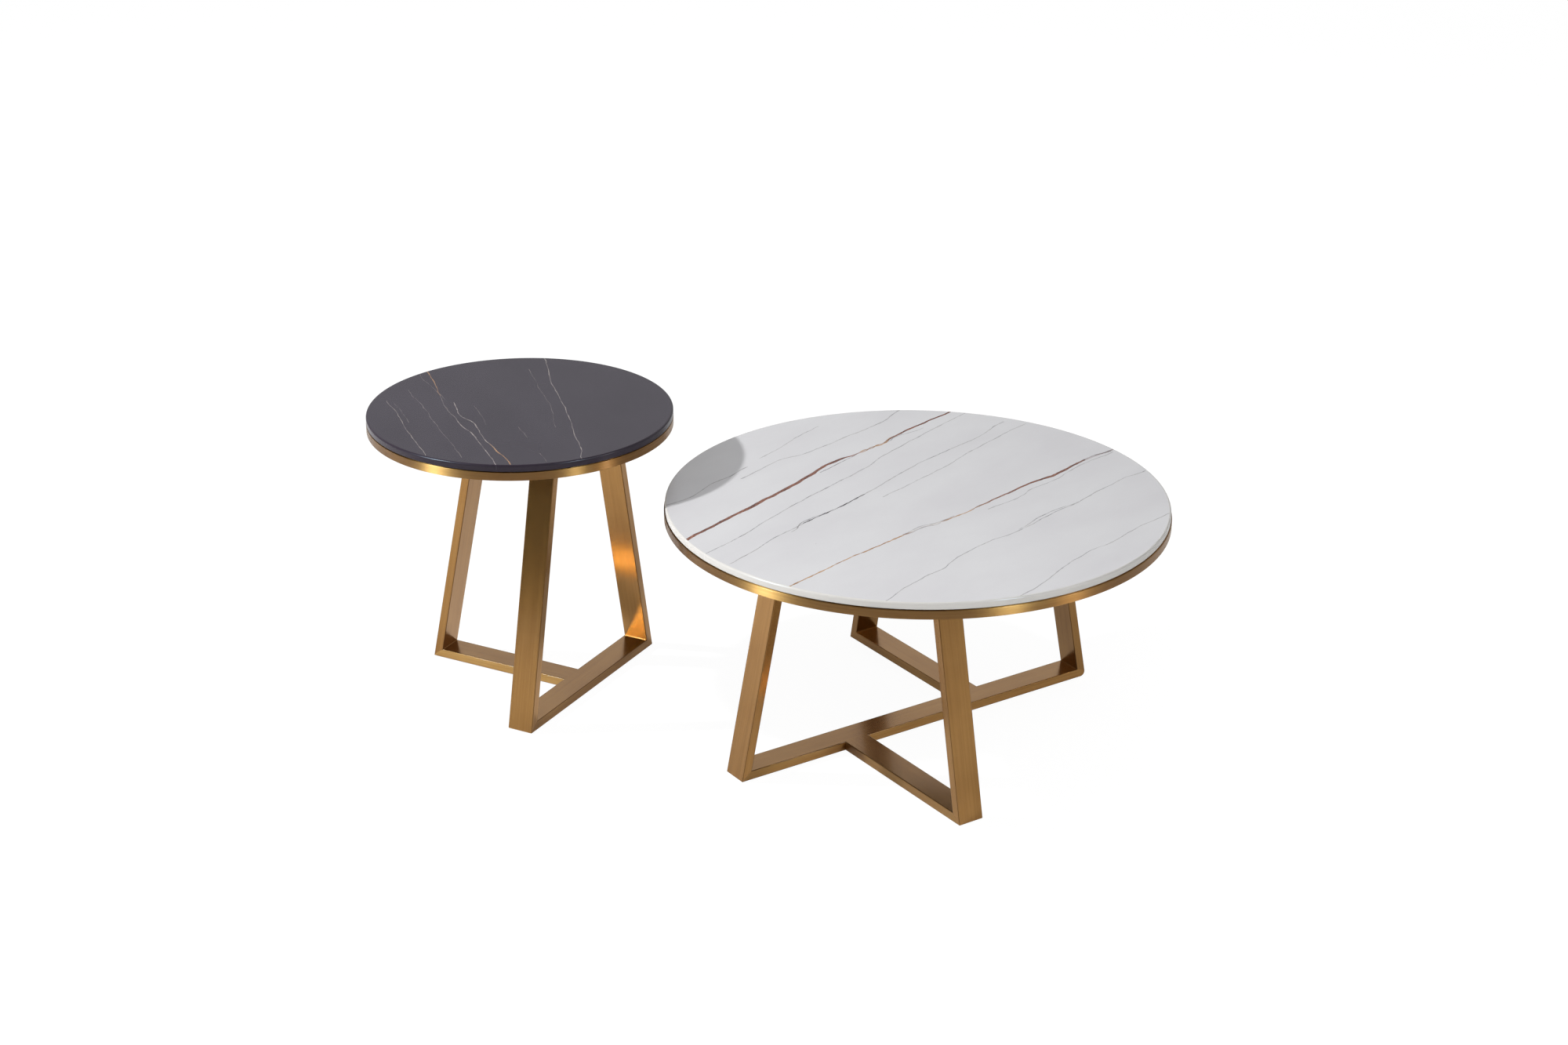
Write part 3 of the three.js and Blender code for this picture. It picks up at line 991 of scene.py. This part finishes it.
@dataclass
class Fixings:
    """A table's glides and screws.

    Dome is the height of a screw's head, cross half the width of its recess's arms, and
    cross reach the radius that they end at.
    """

    table: str
    glides: list[str]
    screws: int
    glide_head: float = 1.5 * MM
    glide_stem: float = 4 * MM
    dome: float = 2.6 * MM
    shank: float = 1.9 * MM
    tip: float = 2.5 * MM
    recess: float = 1.3 * MM
    cross: float = 0.55 * MM
    cross_reach: float = 2.3 * MM

    def build(self, plastic: bpy.types.Material, steel: bpy.types.Material) -> None:
        """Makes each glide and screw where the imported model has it."""
        for name in self.glides:
            self._glide(f"{self.table}_glide_{name}", plastic)
        for number in range(1, self.screws + 1):
            self._screw(f"{self.table}_screw_{number}", steel)

    def _glide(self, node: str, plastic: bpy.types.Material) -> None:
        """A glide: a flat head with a soft edge and a stem pressed into the tube."""
        centre, radius, low, high = round_box(node)
        head, stem = low + self.glide_head, self.glide_stem
        profile = soft_outline(
            [(0, low), (radius, low), (radius, head), (stem, head), (stem, high), (0, high)],
            [0, 0.5 * MM, 0.3 * MM, 0.2 * MM, 0.5 * MM, 0], False, 3, 0.1 * MM)
        mesh = turned_mesh(f"{node}_moulded", profile, centre, 48, False)
        add_piece(mesh, f"{self.table}_table", plastic, [node])

    def _screw(self, node: str, steel: bpy.types.Material) -> None:
        """A screw: a domed head with a cross recess, a threaded shank and a point.

        Its surface is a profile turned about Z, with the head's height raised by the
        recess wherever the smaller of |x| and |y| is under the cross's half width and the
        radius is under its reach. The thread is a groove on every fourth ring.
        """
        segments, rings = 64, 44
        wall, end = 0.15 * MM, 0.5 * MM  # the slopes of the recess's walls and ends
        centre, head, low, high = round_box(node)
        seat = low + self.dome
        turn = np.linspace(0, math.pi / 2, 16)
        groove = 0.25 * MM * (np.arange(rings) % 4 == 2)
        thread = np.linspace(seat + 0.3 * MM, high - self.tip, rings)
        profile = np.vstack([
            np.stack([head * np.sin(turn), seat - self.dome * np.cos(turn)], 1),
            np.stack([self.shank - groove, thread], 1),
            [(0, high)],
        ])
        angle = np.arange(segments)[:, None] * math.tau / segments
        x, y = np.cos(angle) * profile[:, 0], np.sin(angle) * profile[:, 0]
        depth = np.clip((self.cross - np.minimum(abs(x), abs(y))) / wall, 0, 1)
        depth *= np.clip((self.cross_reach - np.hypot(x, y)) / end, 0, 1)
        depth *= profile[:, 1] < seat - 0.5 * MM
        mesh = turned_mesh(f"{node}_driven", profile, centre, segments, False,
                           self.recess * depth)
        add_piece(mesh, f"{self.table}_table", steel, [node], 50)


def dress_node(node: str, material: bpy.types.Material) -> None:
    """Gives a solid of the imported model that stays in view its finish."""
    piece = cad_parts[node]
    if not piece.material_slots:
        piece.data.materials.append(material)
    for each in piece.material_slots:
        each.material = material
    LOG.info("%s: kept, finished in %s", node, material.name)


# Studio


@dataclass(frozen=True)
class Softbox:
    """A lamp that faces the middle of the tables.

    Bearing and height are its direction from there in degrees, and away its distance. Size
    is its width and height, and for a round one its width, and power is in watts. Matt and
    gloss say whether its light falls on matt surfaces and shows in glossy ones.
    """

    name: str
    bearing: float
    height: float
    away: float
    size: Point
    power: float
    round: bool = False
    colour: tuple[float, float, float] = (1, 1, 1)
    matt: bool = True
    gloss: bool = True

    def build(self, target: Vector) -> None:
        """Adds the lamp.

        Args:
            target: the point that it faces.
        """
        data = bpy.data.lights.new(self.name, "AREA")
        data.shape = "DISK" if self.round else "RECTANGLE"
        data.size = self.size[0]
        if not self.round:
            data.size_y = self.size[1]
        data.energy, data.color = self.power, self.colour
        bearing, height = math.radians(self.bearing), math.radians(self.height)
        aim = Vector((math.cos(bearing) * math.cos(height),
                      math.sin(bearing) * math.cos(height), math.sin(height)))
        lamp = new_object(self.name, data)
        lamp.location = target + aim * self.away
        lamp.rotation_euler = aim.to_track_quat("Z", "Y").to_euler()
        lamp.visible_diffuse, lamp.visible_glossy = self.matt, self.gloss


@dataclass
class Studio:
    """The floor, the surroundings, the lamps and the camera.

    Seen and mirrored are the floor's white shares for the camera's rays and for reflected
    and transmitted ones, and glow the strength of that white. Backdrop, ceiling and room
    are the surroundings' strengths. The flag is the first and last bearing, the radius and
    the height. The camera's turn is its bearing, its pitch and its roll in degrees.
    """

    floor_reach: float = 12.0
    sweep: float = 3.0
    wall_top: float = 4.6
    seen: float = 0.88
    mirrored: float = 0.3
    glow: float = 1.08
    backdrop_bearing: float = 103
    backdrop: float = 1.0
    ceiling: float = 0.38
    room: float = 0.08
    flag: tuple[float, float, float, float] = (200, 335, 3.1, 0.5)
    camera_place: tuple[float, float, float] = (1.20266, -4.09719, 2.12578)
    camera_turn: tuple[float, float, float] = (15.8575, 22.8642, 0.1882)
    lens: float = 65.779
    target: Vector = field(default_factory=lambda: Vector((0.1, 0, 0.38)))
    lamps: tuple[Softbox, ...] = (
        Softbox("key", 192, 33.5, 4.2, (0.16, 0.16), 170, True, gloss=False),
        Softbox("front_fill", 295, 38, 4.0, (2.0, 2.0), 62, gloss=False),
        Softbox("left_strip", 217, 28, 3.4, (0.16, 1.6), 165, colour=(0.66, 0.85, 1),
                matt=False),
        Softbox("right_strip", 326, 28, 3.4, (0.16, 1.6), 80, colour=(0.66, 0.85, 1),
                matt=False),
        Softbox("side_strip", 354, 24, 3.6, (0.3, 1.2), 32, matt=False),
    )

    def build(self) -> None:
        """Makes the whole studio."""
        self._floor()
        self._flag()
        self._world()
        for lamp in self.lamps:
            lamp.build(self.target)
        self._camera()
        bpy.context.scene.view_settings.view_transform = "Standard"

    def _white_share(self, graph: Graph) -> Value:
        """The floor's white share for the rays that see it: camera, glossy, transmission.

        It is less in reflections, which show more of the tables' shadow.
        """
        ray = graph.add("LightPath", output="Is Camera Ray")
        mirrored = ray.output("Is Glossy Ray").most(ray.output("Is Transmission Ray"))
        return (ray * self.seen).most(mirrored * self.mirrored)

    def _floor(self) -> None:
        """A pale round floor that sweeps up into a wall, and keeps the tables' shadow.

        Its profile is flat out to the reach, then a quarter circle, then upright.
        """
        turn = np.linspace(0, math.pi / 2, 13)
        profile = np.vstack([
            [(0, 0)],
            np.stack([self.floor_reach + self.sweep * np.sin(turn),
                      self.sweep * (1 - np.cos(turn))], 1),
            [(self.floor_reach + self.sweep, self.wall_top)]])
        mesh = turned_mesh("studio_floor", profile, Vector((0, 0, 0)), 96, False)
        mesh.shade_smooth()
        floor = new_object("studio_floor", mesh)
        material, graph = new_material("studio_floor")
        seen = self._white_share(graph)
        mottle = graph.noise(graph.place("Object"), 3, 2)
        pale = graph.mix(mottle, srgb(240, 240, 240), srgb(236, 236, 236))
        matt = graph.add("BsdfDiffuse", inputs={"Color": pale})
        glow = graph.add("Emission", inputs={"Color": (1, 1, 1, 1), "Strength": self.glow})
        mixed = graph.add("MixShader", inputs={0: seen, 1: matt, 2: glow})
        graph.add("OutputMaterial", inputs={"Surface": mixed})
        mesh.materials.append(material)

    def _flag(self) -> None:
        """A curved dark flag in front of the tables, out of view, for metal to reflect.

        It stands on an arc about the target, from the floor up: a point at share s of the
        arc and t of the height is at (radius cos a, radius sin a, height t), with a from
        the first bearing to the last. It takes light away only from reflections.
        """
        first, last, radius, height = self.flag
        angle = np.radians(np.linspace(first, last, 49))
        rise = np.linspace(1 * MM, height, 5)
        points = np.stack(np.broadcast_arrays(
            self.target.x + radius * np.cos(angle)[:, None],
            self.target.y + radius * np.sin(angle)[:, None], rise), axis=2)
        mesh = grid_mesh("studio_flag", points, radius * angle, rise, False, False)
        flag = new_object("studio_flag", mesh)
        material, graph = new_material("studio_flag")
        weave = graph.noise(graph.place("Object"), 300, 2)
        cloth = graph.add("BsdfDiffuse", inputs={
            "Color": graph.mix(weave, srgb(30, 30, 30), srgb(44, 44, 44))})
        graph.add("OutputMaterial", inputs={"Surface": cloth})
        mesh.materials.append(material)
        flag.visible_camera = flag.visible_diffuse = flag.visible_shadow = False

    def _world(self) -> None:
        """Surroundings: a bright backdrop behind the tables, a soft ceiling, a dim room.

        The backdrop grows with the cosine of the bearing from its middle, and doubles at
        the skyline. The ceiling takes its place with the height.
        """
        world = bpy.context.scene.world or bpy.data.worlds.new("studio")
        bpy.context.scene.world = world
        world.use_nodes = True
        graph = Graph(world.node_tree)
        towards = graph.add("TexCoord", output="Generated")
        flat = graph.vector("NORMALIZE", towards.scaled(1, 1, 0))
        bearing = math.radians(self.backdrop_bearing)
        facing = graph.vector("DOT_PRODUCT", flat, (math.cos(bearing), math.sin(bearing), 0),
                              output="Value")
        height = towards.axis("Z")
        spread, skyline, overhead = (-0.35, 0.75), (0.33, 0.42), (0.35, 0.85)
        backdrop = (graph.between(facing, *spread, self.room, self.backdrop)
                    * graph.between(height, *skyline, 0.5, 1))
        ceiling = graph.between(height, *overhead)
        level = backdrop * (1 - ceiling) + ceiling * self.ceiling
        light = graph.add("Background", inputs={"Color": (1, 1, 1, 1), "Strength": level})
        graph.add("OutputWorld", inputs={"Surface": light})

    def _camera(self) -> None:
        """The camera: place, bearing, pitch, roll and lens found from the photograph."""
        x, y, z = self.camera_place
        bearing, pitch, roll = (math.radians(each) for each in self.camera_turn)
        right = Vector((math.cos(bearing), math.sin(bearing), 0))
        ahead = Vector((-math.sin(bearing) * math.cos(pitch),
                        math.cos(bearing) * math.cos(pitch), -math.sin(pitch)))
        up = right.cross(ahead)
        right, up = (right * math.cos(roll) + up * math.sin(roll),
                     up * math.cos(roll) - right * math.sin(roll))
        data = bpy.data.cameras.new("camera")
        data.sensor_fit, data.sensor_width, data.lens = "HORIZONTAL", 36, self.lens
        data.clip_end = 100
        camera = new_object("camera", data)
        camera.matrix_world = Matrix(((right.x, up.x, -ahead.x, x), (right.y, up.y, -ahead.y, y),
                                      (right.z, up.z, -ahead.z, z), (0, 0, 0, 1)))
        bpy.context.scene.camera = camera


# The pair


LARGE_TURN, SMALL_TURN = 50, 78  # degrees from X to each table's rail


def frame_of(table: str, turn: float, lean: float, arms: list[Arm]) -> Frame:
    """A table's frame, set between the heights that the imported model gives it."""
    low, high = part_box(f"{table}_top_slab")
    foot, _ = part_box(f"{table}_base_rail")
    bars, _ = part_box(f"{table}_top_rail")
    return Frame(table, (low + high) / 2, turn, lean, arms, foot.z, bars.z)


def large_frame() -> Frame:
    """The low table's frame: a rail through the middle and a stub to each side of it."""
    side, reach, stub = 127 * MM, 348 * MM, 324 * MM
    return frame_of("large", LARGE_TURN, 11.5, [
        Arm("right", (0, 0), 0, reach, foot_round=8 * MM),
        Arm("left", (0, 0), 180, reach),
        Arm("front", (-side, 0), 270, stub),
        Arm("back", (side, 0), 90, stub),
    ])


def small_frame() -> Frame:
    """The tall table's frame: a rail off the middle and one stub from it."""
    off, reach, stub = -106 * MM, 194 * MM, 285 * MM
    return frame_of("small", SMALL_TURN, 12, [
        Arm("right", (0, off), 0, reach),
        Arm("front", (0, off), 180, reach),
        Arm("left", (0, off), 90, stub),
    ])


def main() -> None:
    """Builds both tables and the studio."""
    logging.basicConfig(level=logging.INFO, format="%(message)s")
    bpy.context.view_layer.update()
    Studio().build()
    edges = Tube().edge_lines()
    rim_brass = BrushedBrass("brushed_brass_rim", stretched=1.0, stretch_turn=0.25,
                             roughness=0.4).material()
    tube_brass = BrushedBrass("brushed_brass_tube", edges=edges).material()
    side_brass = BrushedBrass("brushed_brass_tube_side", stretched=0.75, stretch_turn=0.25,
                              roughness=0.44, edges=edges).material()
    plastic, steel = GlidePlastic().material(), ScrewSteel().material()
    board = BoardPaint().material()
    tops = [RoundTop("large", WHITE_STONE, "white_stone"),
            RoundTop("small", DARK_STONE, "dark_stone")]
    for top in tops:
        top.build(rim_brass)
    for welded in (large_frame(), small_frame()):
        welded.build(tube_brass, side_brass)
    Fixings("large", ["right", "left", "front", "back"], 8).build(plastic, steel)
    Fixings("small", ["right", "front", "left"], 6).build(plastic, steel)
    for table, turn, bars in (
            ("large", LARGE_TURN, {"top_rail": 0, "top_stub_front": 90, "top_stub_back": 90}),
            ("small", SMALL_TURN, {"top_rail": 0, "top_stub_left": 90})):
        dress_node(f"{table}_backing_board", board)
        for bar, across in bars.items():
            finish = BrushedBrass(f"brushed_brass_{table}_{bar}", "Object", turn + across)
            dress_node(f"{table}_{bar}", finish.material())


if __name__ == "__main__":
    main()
